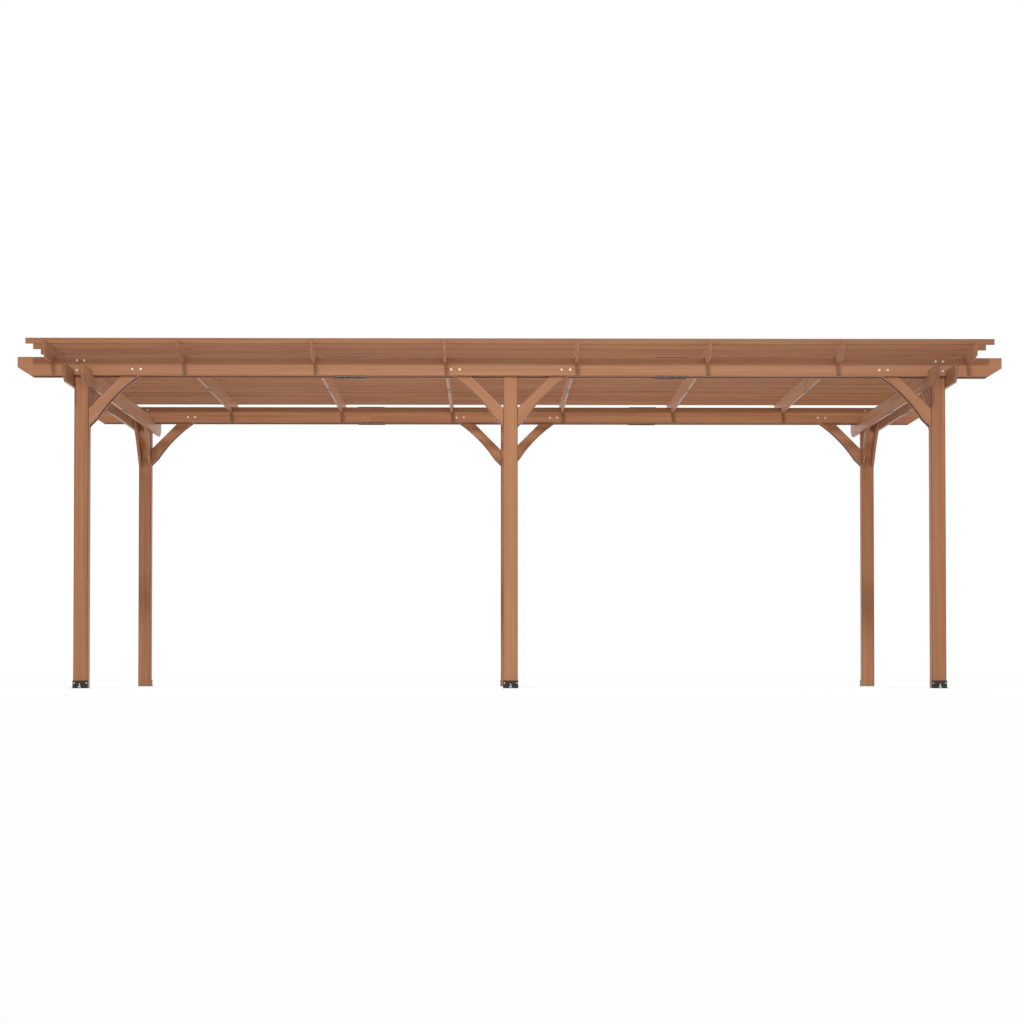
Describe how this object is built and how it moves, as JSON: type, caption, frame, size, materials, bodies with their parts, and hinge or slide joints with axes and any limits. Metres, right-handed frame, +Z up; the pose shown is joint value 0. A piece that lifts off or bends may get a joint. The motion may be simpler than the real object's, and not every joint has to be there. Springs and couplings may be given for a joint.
{
  "type": "wooden pergola",
  "caption": "Free-standing timber pergola: square posts between paired header boards, arched knee braces, lapped rafters and a slatted open roof, bolted down by steel angle brackets.",
  "frame": {"origin": "on the ground, in the middle of the six posts", "axes": "+X along the length, +Y from the front long side to the rear one, +Z up"},
  "size_m": [6.096, 3.485, 2.138],
  "materials": {
    "post_wood": "satin stain, straight grain",
    "frame_wood": "satin stain, straight grain",
    "splice_steel": "dark plain steel",
    "bracket_steel": "black powder coat",
    "bolt_steel": "bright zinc"
  },
  "bodies": {
    "root": {"post_front_left": "post_wood", "post_front_middle": "post_wood", "post_front_right": "post_wood", "post_rear_left": "post_wood", "post_rear_middle": "post_wood", "post_rear_right": "post_wood", "bracket_front_left": "bracket_steel", "bracket_front_middle": "bracket_steel", "bracket_front_right": "bracket_steel", "bracket_rear_left": "bracket_steel", "bracket_rear_middle": "bracket_steel", "bracket_rear_right": "bracket_steel", "header_front_outer": "frame_wood", "header_front_inner": "frame_wood", "header_rear_inner": "frame_wood", "header_rear_outer": "frame_wood", "end_header_left_outer": "frame_wood", "end_header_left_inner": "frame_wood", "end_header_right_inner": "frame_wood", "end_header_right_outer": "frame_wood", "rafter_1": "frame_wood", "rafter_2": "frame_wood", "rafter_3": "frame_wood", "rafter_4": "frame_wood", "rafter_5": "frame_wood", "rafter_6": "frame_wood", "rafter_7": "frame_wood", "rafter_8": "frame_wood", "slats_front": "frame_wood", "slats_rear": "frame_wood", "brace_front_1": "frame_wood", "brace_front_2": "frame_wood", "brace_front_3": "frame_wood", "brace_front_4": "frame_wood", "brace_rear_1": "frame_wood", "brace_rear_2": "frame_wood", "brace_rear_3": "frame_wood", "brace_rear_4": "frame_wood", "end_brace_left_front": "frame_wood", "end_brace_left_rear": "frame_wood", "end_brace_right_front": "frame_wood", "end_brace_right_rear": "frame_wood", "header_splices": "splice_steel", "end_header_splices": "splice_steel", "rafter_splices": "splice_steel"}
  },
  "joints": []
}
